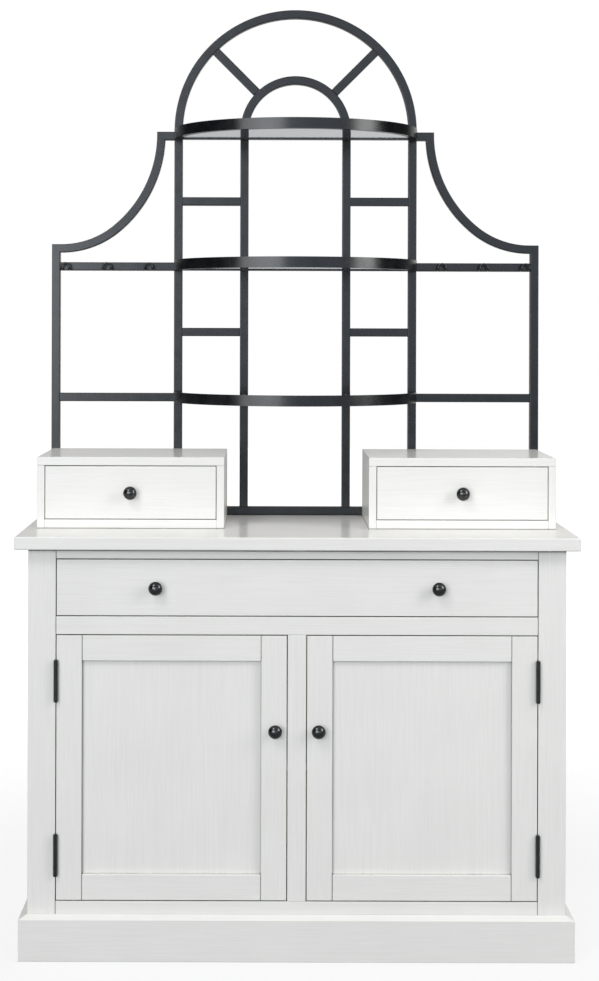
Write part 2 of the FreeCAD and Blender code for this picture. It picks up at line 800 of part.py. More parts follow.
def wing_rails():
    """Left wing: sill, two long rails and the short mitred rail at the top."""
    left = tube - hutch_half
    long_rails = [tube_across(left, -wing_rail_end, z - tube / 2) for z in levels[:2]]
    sill = tube_across(left, -wing_rail_end, top_height)
    hole_radius = wood_screw_radius + bolt_clearance
    sill = cut_all(sill, [wood_screw_shank(-x, hole_radius) for x in wing_screw_x])
    stub = tube_across(scroll_head, -wing_rail_end, scroll_base)
    corner = [(scroll_head, scroll_base), (scroll_head, scroll_base + tube),
              (scroll_head + tube, scroll_base)]
    return [sill] + long_rails + [stub.cut(plate_xz(corner, hutch_front, hutch_back))]


def rail_inserts():
    """Threaded inserts in the wing rails' ends, each with a flange against the post."""
    inset = tube_wall + insert_clearance
    pieces = []
    for z in wing_bolt_levels():
        low = z - tube / 2
        flange = rounded_bar(-wing_rail_end, -centre_half, low, low + tube, vec(1, 0, 0))
        plug = block(-wing_rail_end - insert_depth, -wing_rail_end,
                     hutch_front + inset, hutch_back - inset, low + inset, low + tube - inset)
        mouth = vec(-centre_half, hutch_middle, z)
        thread = rod(bolt_radius, mouth, vec(mouth.x - bolt_reach, hutch_middle, z))
        pieces.append(flange.fuse(plug).removeSplitter().cut(thread))
    return pieces


def wing_bolt(z):
    seat = vec(tube - centre_half, hutch_middle, z)
    shank = rod(bolt_radius, seat, vec(-centre_half - bolt_reach, hutch_middle, z))
    head = rod(bolt_head_radius, seat, vec(seat.x + bolt_head_height, hutch_middle, z))
    return shank.fuse(head).removeSplitter()


def shelf_bolt(z):
    end = vec(shelf_bolt_x, hutch_front - band_thick - nut_length, z)
    seat = vec(shelf_bolt_x, hutch_back, z)
    head = rod(bolt_head_radius, seat, vec(shelf_bolt_x, hutch_back + bolt_head_height, z))
    return rod(bolt_radius, end, seat).fuse(head).removeSplitter()


def bow(inset, rear, z0, z1):
    """Half-ellipse plate inside the shelf outline, its straight side a distance ahead of the hutch."""
    across = centre_half - inset
    deep = shelf_depth - inset
    curve = Part.Ellipse(vec(0, hutch_front, z0), max(across, deep), min(across, deep))
    curve.AngleXU = 0.0 if across >= deep else math.pi / 2   # its angles count from the longer axis
    start = math.pi + math.asin(rear / deep)
    end = 3 * math.pi - start
    arc = Part.ArcOfEllipse(curve, start - curve.AngleXU, end - curve.AngleXU).toShape()
    ends = [vertex.Point for vertex in arc.Vertexes]
    chord = Part.LineSegment(ends[1], ends[0]).toShape()
    return Part.Face(Part.Wire([arc, chord])).extrude(vec(0, 0, z1 - z0))


def shelf_frame(level):
    """Bow-fronted band, the ledge and rear bar that the glass lies on, and a tab on each inner post."""
    low = level - tube / 2
    high = low + band_height
    above = high + cut_margin
    tray = bow(0.0, 0.0, low, high).cut(bow(band_thick, -cut_margin, low + ledge_thick, above))
    window = bow(band_thick + ledge_width, rear_bar_width, low - cut_margin, above)
    tab = block(-inner_half, tube - inner_half, hutch_front - band_thick, hutch_front, low, high)
    z = low + shelf_bolt_lift
    nut_seat = vec(shelf_bolt_x, hutch_front - band_thick, z)
    nut = rod(nut_radius, nut_seat, vec(shelf_bolt_x, nut_seat.y - nut_length, z))
    frame = join_all([tray.cut(window)] + both_sides([tab, nut]))
    return cut_all(frame, both_sides([shelf_bolt_hole(z, bolt_radius)]))


def glass(level):
    low = level - tube / 2 + ledge_thick
    gap = band_thick + glass_gap
    return bow(gap, gap, low, low + glass_thick)


def bent_rod(radius, corner, start, axis, angle):
    """Round wire turned about an axis through corner, from the start point on."""
    way = axis.cross(start - corner)
    profile = Part.Face(Part.Wire([Part.makeCircle(radius, start, way)]))
    return profile.revolve(corner, axis, angle)


def hook(x):
    """Hairpin of round wire on the front of a wing rail: out, up, over and back."""
    root = levels[1] - hook_drop
    out = hutch_front - hook_reach
    shoulder = root + hook_bend + hook_upright
    pieces = []
    for leg_x in (x - hook_half_width, x + hook_half_width):
        bend_start = vec(leg_x, out + hook_bend, root)
        bend_end = vec(leg_x, out, root + hook_bend)
        corner = vec(leg_x, out + hook_bend, root + hook_bend)
        pieces.append(rod(hook_wire_radius, vec(leg_x, hutch_front, root), bend_start))
        pieces.append(bent_rod(hook_wire_radius, corner, bend_start, vec(-1, 0, 0), 90))
        pieces.append(rod(hook_wire_radius, bend_end, vec(leg_x, out, shoulder)))
    bow_start = vec(x + hook_half_width, out, shoulder)
    pieces.append(bent_rod(hook_wire_radius, vec(x, out, shoulder), bow_start, vec(0, -1, 0), 180))
    return join_all(pieces)


def hooks():
    return [hook(-first_hook_x - hook_pitch * i) for i in range(hook_count)]


# ---- every piece into its own file -----------------------------------------------------
def write_cabinet():
    save("worktop", worktop())
    save("front_legs", *both_sides([front_leg()]))
    save("rear_legs", *both_sides([rear_leg()]))
    save("face_frame", *face_frame())
    save("side_rails", *both_sides(side_rails()))
    save("side_panels", *both_sides([side_panel()]))
    save("rear_rails", *rear_rails())
    save("back_panel", back_panel())
    save("cabinet_floor", cabinet_floor())
    save("divider", divider())
    save("cupboard_shelves", *both_sides([cupboard_shelf()]))
    save("shelf_pins", *both_sides(shelf_pins()))
    save("plinth", *plinth())
    save("floor_glides", *glides())


def write_drawers():
    save("runner_cleats", *both_sides([cleat()]))
    save("drawer_runners", *both_sides([runner()]))
    save("wide_drawer_front", wide_drawer_front())
    save("wide_drawer_box", *wide_drawer_box())
    left_knob = knob(-knob_spacing / 2, face, drawer_mid, drawer_front_thick)
    save("wide_drawer_knobs", *both_sides(left_knob))
    x, z = small_drawer_middle()
    pieces = {"drawer_front": [small_drawer_front()], "drawer_box": small_drawer_box(),
              "drawer_knob": knob(x, box_front, z, small_front_thick)}
    save_handed(pieces)
    save("box_lids", *both_sides([box_lid()]))
    save("box_cases", *both_sides(box_case()))


def write_doors():
    knob_x, knob_z = door_knob_place()
    pieces = {"door_frame": door_frame(), "door_panel": [door_panel()],
              "door_knob": knob(knob_x, face, knob_z, door_thick),
              "door_leaves": [hinge_leaf(z, True) for z in hinge_heights],
              "door_strike": [door_strike()]}
    save_handed(pieces)
    save("frame_leaves", *both_sides([hinge_leaf(z, False) for z in hinge_heights]))
    save("hinge_pins", *both_sides([hinge_pin(z) for z in hinge_heights]))
    save("door_catches", *both_sides([catch()]))


def save_handed(pieces):
    for name, shapes in pieces.items():
        save("left_" + name, *shapes)
        save("right_" + name, *[mirrored(shape) for shape in shapes])


def write_hutch():
    save("outer_posts", *both_sides([outer_post()]))
    save("inner_posts", *both_sides([inner_post()]))
    save("hutch_arch", arch(centre_half))
    save("inner_arch", arch(inner_half))
    save("arch_spokes", *both_sides([spoke()]))
    save("centre_sill", centre_sill())
    save("rungs", *both_sides(rungs()))
    save("side_posts", *both_sides([side_post()]))
    save_handed({"scroll": [scroll()]})
    save("wing_rails", *both_sides(wing_rails()))
    save("rail_inserts", *both_sides(rail_inserts()))
    save("hooks", *both_sides(hooks()))
    for name, level in zip(("lower", "middle", "upper"), levels):
        save(name + "_shelf_frame", shelf_frame(level))
    save("glass_panels", *[glass(level) for level in levels])
    save("wing_bolts", *both_sides([wing_bolt(z) for z in wing_bolt_levels()]))
    save("shelf_bolts", *both_sides([shelf_bolt(z) for z in shelf_bolt_levels()]))
    save("hutch_screws", *[wood_screw(x) for x in screw_places()])


os.makedirs("parts", exist_ok=True)
write_cabinet()
write_drawers()
write_doors()
write_hutch()
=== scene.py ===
import json
import math

import bmesh
import bpy
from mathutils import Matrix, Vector


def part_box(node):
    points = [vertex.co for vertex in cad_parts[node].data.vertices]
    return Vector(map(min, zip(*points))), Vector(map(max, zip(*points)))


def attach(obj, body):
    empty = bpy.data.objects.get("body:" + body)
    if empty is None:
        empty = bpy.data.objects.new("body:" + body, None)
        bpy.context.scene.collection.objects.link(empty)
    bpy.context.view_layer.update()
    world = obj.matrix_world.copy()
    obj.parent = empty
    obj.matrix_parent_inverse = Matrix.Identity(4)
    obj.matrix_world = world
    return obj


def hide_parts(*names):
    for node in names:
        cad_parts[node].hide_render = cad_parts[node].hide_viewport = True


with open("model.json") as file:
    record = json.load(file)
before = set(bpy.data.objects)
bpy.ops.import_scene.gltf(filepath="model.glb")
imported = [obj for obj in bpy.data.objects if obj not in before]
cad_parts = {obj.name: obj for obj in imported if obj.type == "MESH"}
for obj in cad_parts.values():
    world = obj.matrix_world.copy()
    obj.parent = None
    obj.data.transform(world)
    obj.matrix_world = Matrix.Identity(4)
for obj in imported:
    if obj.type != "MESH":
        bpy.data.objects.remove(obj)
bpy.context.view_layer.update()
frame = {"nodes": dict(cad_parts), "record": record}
nodes = frame["nodes"]
print("frame loaded,", len(nodes), "nodes")

mm = 0.001
white = (1.0, 1.0, 1.0, 1.0)


# sRGB hex to the linear colour that the shaders expect
def linear(hexCode):
    channels = [int(hexCode[i:i + 2], 16) / 255 for i in (1, 3, 5)]
    return [c / 12.92 if c <= 0.04045 else ((c + 0.055) / 1.055) ** 2.4 for c in channels] + [1.0]


# Adds a node with its options, then sets or links its inputs. A name picks the live input of that
# name and a number the input at that place; a node as a value hands on its first live output.
def addNode(tree, kind, inputs=None, **options):
    node = tree.nodes.new("ShaderNode" + kind)
    for key, value in options.items():
        setattr(node, key, value)
    for key, value in (inputs or {}).items():
        named = [socket for socket in node.inputs if socket.enabled and socket.name == key]
        socket = named[0] if named else node.inputs[key]
        if isinstance(value, bpy.types.Node):
            value = next(output for output in value.outputs if output.enabled)
        if isinstance(value, bpy.types.NodeSocket):
            tree.links.new(value, socket)
        else:
            socket.default_value = value
    return node


# The ends of a Map Range node, as inputs
def fromSpan(low, high):
    return {"From Min": low, "From Max": high}


def toSpan(low, high):
    return {"To Min": low, "To Max": high}


noiseSpan = fromSpan(0.35, 0.65)  # nearly all of a noise lies in here


def newFinish(name):
    finish = bpy.data.materials.new(name)
    finish.use_nodes = True
    finish.node_tree.nodes.clear()
    place = addNode(finish.node_tree, "TexCoord").outputs["Object"]  # metres, fixed to the piece
    return finish, finish.node_tree, place


# Noise stretched by three sizes in mm, from 0 to 1 and centred on 0.5
def speckle(tree, place, sizes, detail=2.0):
    scale = [1 / (size * mm) for size in sizes]
    stretched = addNode(tree, "VectorMath", {0: place, 1: scale}, operation="MULTIPLY")
    return addNode(tree, "TexNoise", {"Vector": stretched, "Scale": 1.0, "Detail": detail})


# The box of each separate solid in a CAD node, from left to right
def pieceBoxes(name):
    mesh = bmesh.new()
    mesh.from_mesh(nodes[name].data)
    sameCorner = 0.001 * mm
    bmesh.ops.remove_doubles(mesh, verts=mesh.verts, dist=sameCorner)
    waiting = set(mesh.verts)
    boxes = []
    while waiting:
        reached = [waiting.pop()]
        for vert in reached:
            fresh = {edge.other_vert(vert) for edge in vert.link_edges} & waiting
            waiting -= fresh
            reached.extend(fresh)
        spans = [[vert.co[axis] for vert in reached] for axis in range(3)]
        boxes.append((Vector([min(span) for span in spans]), Vector([max(span) for span in spans])))
    mesh.free()
    return sorted(boxes, key=lambda box: tuple(round(value, 5) for value in box[0]))


# Antique white lacquer, brushed on hardwood along the grain, then wiped with a grey glaze: a soft pale
# face with faint long streaks, and thin grey lines where the glaze stayed between the boards. The same
# grey paints shade into closed corners and a shadow under the worktop's edge.
lacquer = {
    "paint": "#eeece7",
    "thinPaint": "#e7e5e0",         # where the brush left less
    # grey of the glaze in joints; it also paints shade into corners and a shadow under the worktop
    "glazeAndShade": "#494c45",
    "streakWidth": 3.0,             # mm; the bristle marks are 0.5 mm, drawn coarser so that they show
    "streakLength": 150.0,
    "streakThinning": 0.75,         # how much of the thin paint the streaks bring
    "boardShift": 60.0,             # streaks between one board's pattern and another's, at most
    "cloudSize": 170.0,             # broad patches where the wash was wiped unevenly
    "cloudThinning": 0.35,
    "glazeAndShadeReach": 5.0,              # how far the glaze and painted shade run out of a corner
    "glazeAndShadeOpenness": (0.30, 0.82),  # full glaze and painted shade in a corner this open, and none at the second
    "cornerCover": (0.55, 0.95),    # how thickly glaze and painted shade lie in corners, from streak to streak
    "glazeLine": 1.6,               # its width where two boards meet flush
    "shadowUnderTopWidth": 5.28,           # width of a painted shadow under the worktop's edge, in the glaze's grey
    "lineCover": (0.65, 0.95),
    "sheen": (0.16, 0.24),          # roughness, low to high
    "brushRelief": 0.02,            # mm
}
doorTongue = 8.0                    # mm of the door panel inside the grooves of its frame


# 1 inside every span of |x|, |y| or |z| (middle and half width in mm), else 0
def insideBand(tree, place, band):
    axes = addNode(tree, "SeparateXYZ", {0: place})
    inside = 1.0
    for axis, (middle, half) in band.items():
        distance = addNode(tree, "Math", {0: axes.outputs[axis]}, operation="ABSOLUTE")
        within = addNode(tree, "Math", {0: distance, 1: middle * mm, 2: half * mm}, operation="COMPARE")
        inside = addNode(tree, "Math", {0: inside, 1: within}, operation="MULTIPLY")
    return inside


# The brush's streaks along the grain, and inside the band along the band's own grain
def brushStreaks(tree, place, grain, band, bandGrain):
    def stretchAlong(axis):
        across, along = 1 / (lacquer["streakWidth"] * mm), 1 / (lacquer["streakLength"] * mm)
        return [along if letter == axis else across for letter in "XYZ"]

    stretch = stretchAlong(grain)
    if band:
        stretch = addNode(tree, "Mix", {"Factor": insideBand(tree, place, band), "A": stretch,
                                        "B": stretchAlong(bandGrain)}, data_type="VECTOR")
    board = addNode(tree, "NewGeometry").outputs["Random Per Island"]
    start = addNode(tree, "Math", {0: board, 1: lacquer["boardShift"]}, operation="MULTIPLY")
    streakPlace = addNode(tree, "VectorMath", {0: place, 1: stretch, 2: start}, operation="MULTIPLY_ADD")
    return addNode(tree, "TexNoise", {"Vector": streakPlace, "Scale": 1.0, "Detail": 5.0, "Roughness": 0.62})


# How much grey: glaze and painted shade in closed corners, found by ambient occlusion, and a line
# along each joint band, which is glaze between flush boards and a painted shadow under the worktop
def glazeAndPaintedShade(tree, place, streaks, joints):
    # Ambient occlusion darkens closed corners: painted shade, with the glaze that gathers there
    openness = addNode(tree, "AmbientOcclusion", {"Distance": lacquer["glazeAndShadeReach"] * mm}, samples=8)
    closed = addNode(tree, "MapRange", {"Value": openness.outputs["AO"], **toSpan(1.0, 0.0),
                                        **fromSpan(*lacquer["glazeAndShadeOpenness"])})
    cover = addNode(tree, "MapRange", {"Value": streaks, **noiseSpan, **toSpan(*lacquer["cornerCover"])})
    left = addNode(tree, "Math", {0: closed, 1: cover}, operation="MULTIPLY")
    for joint in joints:
        cover = addNode(tree, "MapRange", {"Value": streaks, **noiseSpan, **toSpan(*lacquer["lineCover"])})
        line = addNode(tree, "Math", {0: insideBand(tree, place, joint), 1: cover}, operation="MULTIPLY")
        left = addNode(tree, "Math", {0: left, 1: line}, operation="MAXIMUM")
    return left


def brushedLacquer(name, grain, band=None, bandGrain=None, joints=()):
    finish, tree, place = newFinish(name)
    streaks = brushStreaks(tree, place, grain, band, bandGrain)
    clouds = speckle(tree, place, (lacquer["cloudSize"],) * 3, detail=3.0)
    inStreaks = addNode(tree, "MapRange", {"Value": streaks, **noiseSpan,
                                           **toSpan(0.0, lacquer["streakThinning"])})
    inClouds = addNode(tree, "MapRange", {"Value": clouds, **noiseSpan,
                                          **toSpan(0.0, lacquer["cloudThinning"])})
    thinness = addNode(tree, "Math", {0: inStreaks, 1: inClouds}, operation="ADD", use_clamp=True)
    paint = addNode(tree, "Mix", {"Factor": thinness, "A": linear(lacquer["paint"]),
                                  "B": linear(lacquer["thinPaint"])}, data_type="RGBA")
    # The grey: glaze in joints, painted shade in corners and a painted shadow under the worktop
    colour = addNode(tree, "Mix", {"Factor": glazeAndPaintedShade(tree, place, streaks, joints), "A": paint,
                                   "B": linear(lacquer["glazeAndShade"])}, data_type="RGBA")
    relief = addNode(tree, "Bump", {"Height": streaks, "Strength": 1.0,
                                    "Distance": lacquer["brushRelief"] * mm})
    sheen = addNode(tree, "MapRange", {"Value": streaks, **noiseSpan, **toSpan(*lacquer["sheen"])})
    surface = addNode(tree, "BsdfPrincipled", {"Base Color": colour, "IOR": 1.5, "Normal": relief,
                                               "Roughness": sheen})
    addNode(tree, "OutputMaterial", {"Surface": surface})
    return finish


def paintNodes(finish, names):
    for name in names:
        for slot in nodes[name].material_slots:
            slot.material = finish


def middleAndHalf(low, high):
    return (low + high) / 2 / mm, (high - low) / 2 / mm


# The span of a grey line that begins at a board's end, for glaze lines and for the painted shadow under the
# worktop; a width below 0 goes down or inward
def lineFrom(end, width):
    other = end + width * mm
    return middleAndHalf(min(end, other), max(end, other))


faceLow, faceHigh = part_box("face_frame")
# A painted shadow under the worktop's overhang: a grey band down from the top of the face frame
shadowUnderTop = {"Z": lineFrom(faceHigh.z, -lacquer["shadowUnderTopWidth"])}


def paintPlainBoards():
    paintNodes(brushedLacquer("lacquer brushed along the length", "X"),
               ["worktop", "box_lids", "wide_drawer_front", "left_drawer_front", "right_drawer_front",
                "rear_rails", "cabinet_floor", "cupboard_shelves"])
    paintNodes(brushedLacquer("lacquer brushed front to back", "Y"), ["side_rails"])
    # The legs and side panels get the painted shadow under the worktop
    paintNodes(brushedLacquer("lacquer brushed upright", "Z", joints=[shadowUnderTop]),
               ["front_legs", "rear_legs", "side_panels", "divider", "left_door_panel", "right_door_panel"])


# Rails along, the centre stile upright
def paintFaceFrame():
    doorLow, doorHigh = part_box("right_door_frame")
    stile = {"X": (0.0, doorLow.x / mm), "Z": middleAndHalf(doorLow.z, doorHigh.z)}
    rightLegLow, _ = pieceBoxes("front_legs")[-1]
    besideLegs = {"X": lineFrom(rightLegLow.x, -lacquer["glazeLine"])}
    # The painted shadow under the worktop, and a glaze line beside the legs
    finish = brushedLacquer("lacquer brushed on the face frame", "X", stile, "Z", [shadowUnderTop, besideLegs])
    paintNodes(finish, ["face_frame"])


# Stiles upright, rails along
def paintDoorFrames():
    panelLow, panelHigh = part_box("right_door_panel")
    innerLow, innerHigh = panelLow.x + doorTongue * mm, panelHigh.x - doorTongue * mm
    rails = {"X": middleAndHalf(innerLow, innerHigh)}
    railEnds = [{"X": lineFrom(innerLow, lacquer["glazeLine"])},
                {"X": lineFrom(innerHigh, -lacquer["glazeLine"])}]
    finish = brushedLacquer("lacquer brushed on the door frames", "Z", rails, "X", railEnds)
    paintNodes(finish, ["left_door_frame", "right_door_frame"])


# Sides upright, the boards between them along
def paintBoxes():
    drawerLow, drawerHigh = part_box("right_drawer_front")
    between = {"X": middleAndHalf(drawerLow.x, drawerHigh.x)}
    paintNodes(brushedLacquer("lacquer brushed on the boxes", "Z", between, "X"), ["box_cases"])


# Side boards front to back, the front board along
def paintPlinth():
    plinthLow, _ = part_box("plinth")
    frontBoard = {"Y": middleAndHalf(-faceLow.y, -plinthLow.y)}
    paintNodes(brushedLacquer("lacquer brushed on the plinth", "Y", frontBoard, "X"), ["plinth"])


paintPlainBoards()
paintFaceFrame()
paintDoorFrames()
paintBoxes()
paintPlinth()
print("lacquer done")

# Satin black powder coat, baked on welded steel tube: a charcoal film with a very fine orange peel
# and a satin gloss that picks up the lamps as soft bands.
powderCoat = {
    "film": "#0b0d0e",
    "paleFilm": "#15181a",      # thinner film over the tube's flats
    "peel": 1.1,                # mm; the real orange peel is 0.4 mm, drawn coarser so that it shows
    "mottle": 28.0,
    "gloss": (0.20, 0.25),      # roughness, low to high
    "relief": 0.012,            # mm
}


def powderCoated():
    finish, tree, place = newFinish("satin black powder coat on steel")
    peel = speckle(tree, place, (powderCoat["peel"],) * 3)
    mottle = speckle(tree, place, (powderCoat["mottle"],) * 3, detail=6.0)
    thinness = addNode(tree, "MapRange", {"Value": mottle, **noiseSpan})
    colour = addNode(tree, "Mix", {"Factor": thinness, "A": linear(powderCoat["film"]),
                                   "B": linear(powderCoat["paleFilm"])}, data_type="RGBA")
    relief = addNode(tree, "Bump", {"Height": peel, "Strength": 1.0,
                                    "Distance": powderCoat["relief"] * mm})
    gloss = addNode(tree, "MapRange", {"Value": mottle, **noiseSpan, **toSpan(*powderCoat["gloss"])})
    surface = addNode(tree, "BsdfPrincipled", {"Base Color": colour, "IOR": 1.5, "Normal": relief,
                                               "Roughness": gloss})
    addNode(tree, "OutputMaterial", {"Surface": surface})
    return finish


# Oil-rubbed bronze, cast and darkened in an oil bath: nearly black, with brown showing faintly where
# it is rubbed.
oiledBronze = {
    "patina": "#484b4c",
    "rubbed": "#5c5650",
    "mottle": 5.0,              # mm
    "rubbedFrom": (0.45, 0.7),  # of the mottle: rubbing begins at the first and is full at the second
    "rubbing": 0.6,             # how far it is rubbed at most
    "gloss": (0.16, 0.26),      # roughness, low to high
}


def oilRubbedBronze():
    finish, tree, place = newFinish("oil-rubbed dark bronze")
    mottle = speckle(tree, place, (oiledBronze["mottle"],) * 3, detail=4.0)
    rubbing = addNode(tree, "MapRange", {"Value": mottle, **fromSpan(*oiledBronze["rubbedFrom"]),
                                         **toSpan(0.0, oiledBronze["rubbing"])})
    colour = addNode(tree, "Mix", {"Factor": rubbing, "A": linear(oiledBronze["patina"]),
                                   "B": linear(oiledBronze["rubbed"])}, data_type="RGBA")
    gloss = addNode(tree, "MapRange", {"Value": mottle, **noiseSpan, **toSpan(*oiledBronze["gloss"])})
    surface = addNode(tree, "BsdfPrincipled", {"Base Color": colour, "Metallic": 1.0, "Roughness": gloss})
    addNode(tree, "OutputMaterial", {"Surface": surface})
    return finish


# Clear float glass with polished edges: nearly colourless and faintly cool, with a slight ripple
# from the float bath that bends what it mirrors.
floatGlass = {
    "tint": "#dde2e8",
    "ripple": 90.0,             # mm from one swell to the next
    "rippleHeight": 0.01,
}


def clearFloatGlass():
    finish, tree, place = newFinish("clear float glass")
    ripple = speckle(tree, place, (floatGlass["ripple"],) * 3, detail=1.0)
    relief = addNode(tree, "Bump", {"Height": ripple, "Strength": 1.0,
                                    "Distance": floatGlass["rippleHeight"] * mm})
    surface = addNode(tree, "BsdfPrincipled", {"Base Color": linear(floatGlass["tint"]), "IOR": 1.52,
                                               "Roughness": 0.0, "Transmission Weight": 1.0,
                                               "Normal": relief})
    addNode(tree, "OutputMaterial", {"Surface": surface})
    return finish


# Beech planed and sealed clear: warm and even, with short darker flecks along the grain.
sealedBeech = {
    "early": "#cfae82",
    "late": "#b8925f",
    "fleck": "#8f6b42",
    "ringSize": (180.0, 4.0, 4.0),      # mm along the grain, then across it
    "lateShare": 0.8,                   # how far the rings reach the late wood's colour
    "fleckSize": (10.0, 2 / 3, 2 / 3),  # the real ones are 2 mm long, drawn longer so that they show
    "fleckFrom": (0.6, 0.8),            # of the noise: a fleck begins at the first, full at the second
    "fleckShare": 0.35,
    "sheen": (0.42, 0.55),              # roughness, low to high
}


def clearSealedBeech():
    finish, tree, place = newFinish("clear-sealed beech")
    rings = speckle(tree, place, sealedBeech["ringSize"], detail=4.0)
    flecks = speckle(tree, place, sealedBeech["fleckSize"])
    lateWood = addNode(tree, "MapRange", {"Value": rings, **noiseSpan,
                                          **toSpan(0.0, sealedBeech["lateShare"])})
    wood = addNode(tree, "Mix", {"Factor": lateWood, "A": linear(sealedBeech["early"]),
                                 "B": linear(sealedBeech["late"])}, data_type="RGBA")
    inFlecks = addNode(tree, "MapRange", {"Value": flecks, **fromSpan(*sealedBeech["fleckFrom"]),
                                          **toSpan(0.0, sealedBeech["fleckShare"])})
    colour = addNode(tree, "Mix", {"Factor": inFlecks, "A": wood, "B": linear(sealedBeech["fleck"])},
                     data_type="RGBA")
    sheen = addNode(tree, "MapRange", {"Value": rings, **noiseSpan, **toSpan(*sealedBeech["sheen"])})
    surface = addNode(tree, "BsdfPrincipled", {"Base Color": colour, "IOR": 1.5, "Roughness": sheen})
    addNode(tree, "OutputMaterial", {"Surface": surface})
    return finish


# Bright zinc plate on steel fasteners: pale grey metal with a faint crystal mottle.
zincPlate = {
    "bright": "#c9ccd0",
    "dull": "#a5a9ae",
    "crystal": 2.0,             # mm
    "gloss": (0.28, 0.4),       # roughness, low to high
}


def zincPlated():
    finish, tree, place = newFinish("zinc-plated steel")
    crystal = speckle(tree, place, (zincPlate["crystal"],) * 3)
    dullness = addNode(tree, "MapRange", {"Value": crystal, **noiseSpan})
    colour = addNode(tree, "Mix", {"Factor": dullness, "A": linear(zincPlate["bright"]),
                                   "B": linear(zincPlate["dull"])}, data_type="RGBA")
    gloss = addNode(tree, "MapRange", {"Value": crystal, **noiseSpan, **toSpan(*zincPlate["gloss"])})
    surface = addNode(tree, "BsdfPrincipled", {"Base Color": colour, "Metallic": 1.0, "Roughness": gloss})
    addNode(tree, "OutputMaterial", {"Surface": surface})
    return finish


# Moulded nylon feet: dull dark brown with a fine spark-eroded grain from the mould.
mouldedNylon = {
    "body": "#2b2826",
    "grain": 0.8,               # mm
    "relief": 0.03,
    "dullness": (0.5, 0.62),    # roughness, low to high
}


def mouldedNylonFeet():
    finish, tree, place = newFinish("moulded nylon")
    grain = speckle(tree, place, (mouldedNylon["grain"],) * 3)
    relief = addNode(tree, "Bump", {"Height": grain, "Strength": 1.0,
                                    "Distance": mouldedNylon["relief"] * mm})
    dullness = addNode(tree, "MapRange", {"Value": grain, **noiseSpan, **toSpan(*mouldedNylon["dullness"])})
    surface = addNode(tree, "BsdfPrincipled", {"Base Color": linear(mouldedNylon["body"]), "IOR": 1.53,
                                               "Roughness": dullness, "Normal": relief})
    addNode(tree, "OutputMaterial", {"Surface": surface})
    return finish


finishes = {
    "black_steel": powderCoated(),
    "dark_bronze": oilRubbedBronze(),
    "clear_glass": clearFloatGlass(),
    "bare_wood": clearSealedBeech(),
    "zinc_steel": zincPlated(),
    "nylon": mouldedNylonFeet(),
}
for row in frame["record"]["subparts"]:
    if row["material_slot"] in finishes:
        paintNodes(finishes[row["material_slot"]], [row["node"]])
print("metals, glass and bare wood done")

# Button-head bolts with a hexagon socket hold the hutch together; cross-head screws hold it down and
# hold the hinges. Radii and heights are in mm.
socketBolt = {"shank": 3.0, "head": 5.5, "headHeight": 3.3, "rim": 0.8, "recess": 2.3, "recessDepth": 2.0}
sillScrew = {"shank": 2.5, "head": 4.5, "headHeight": 2.5, "rim": 1.0, "recess": 2.7, "recessDepth": 1.4}
hingeScrew = {
    "shank": 2.0, "head": 3.4, "headHeight": 0.75, "rim": 0.45, "recess": 2.1, "recessDepth": 0.65,
    "length": 1.5,              # only what shows, and its root in the leaf
    "leafGap": 2.0,             # between the two leaves of a closed hinge
    # up from the hinge's middle, and in from the cabinet's face
    "places": ((-30.0, 6.5), (0.0, 12.0), (30.0, 6.5)),
}
outlineCorners = 24             # in every outline, so that two join corner to corner
outlineStep = 2 * math.pi / outlineCorners
creaseAngle = math.radians(30)  # the least angle that stays a sharp edge


# A closed outline whose distance from the middle depends on the turn
def outlineBy(reach):
    turns = [outlineStep * i for i in range(outlineCorners)]
    return [(reach(turn) * math.cos(turn), reach(turn) * math.sin(turn)) for turn in turns]


def circleOutline(radius):
    return outlineBy(lambda turn: radius)


def hexagonOutline(radius):
    twelfth = math.pi / 6
    return outlineBy(lambda turn: radius * math.cos(twelfth) / math.cos(turn % (2 * twelfth) - twelfth))


# A cross whose arms are so wide that their corners lie one step off their middle
def crossOutline(arm):
    half = arm * math.tan(outlineStep)

    def reach(turn):
        across, along = sorted((abs(math.cos(turn)), abs(math.sin(turn))))
        return min(arm / along, half / max(across, 0.001))  # across is 0 in the middle of an arm

    return outlineBy(reach)


# Joins outlines at their heights along a way, corner to corner, into one closed skin
def stackOutlines(mesh, start, way, layers):
    turn = way.to_track_quat("Z", "Y")
    loops = [[mesh.verts.new(start + turn @ Vector((u, v, height)) * mm) for u, v in outline]
             for height, outline in layers]
    for lower, upper in zip(loops, loops[1:]):
        for i in range(outlineCorners):
            mesh.faces.new((lower[i - 1], lower[i], upper[i], upper[i - 1]))
    for loop, height in ((loops[0][::-1], layers[0][0]), (loops[-1], layers[-1][0])):
        middle = mesh.verts.new(start + turn @ Vector((0.0, 0.0, height)) * mm)
        for i in range(outlineCorners):
            mesh.faces.new((loop[i - 1], loop[i], middle))


def addFastener(mesh, tip, top, sizes, recess):
    length = (top - tip).length / mm
    seat = length - sizes["headHeight"]
    shank, head = circleOutline(sizes["shank"]), circleOutline(sizes["head"])
    layers = [
        (0.0, shank), (seat, shank), (seat, head), (length - sizes["rim"], head),
        (length, circleOutline(sizes["head"] - sizes["rim"])), (length, recess),
        (length - sizes["recessDepth"], recess),
    ]
    stackOutlines(mesh, tip, (top - tip).normalized(), layers)


def placePiece(name, mesh, body, slotName, replaced=()):
    for face in mesh.faces:
        face.smooth = True
    for edge in mesh.edges:
        edge.smooth = edge.calc_face_angle(0.0) < creaseAngle
    data = bpy.data.meshes.new(name)
    mesh.to_mesh(data)
    mesh.free()
    data.materials.append(finishes[slotName])
    piece = bpy.data.objects.new(name, data)
    bpy.context.scene.collection.objects.link(piece)
    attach(piece, body)
    if replaced:
        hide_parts(*replaced)


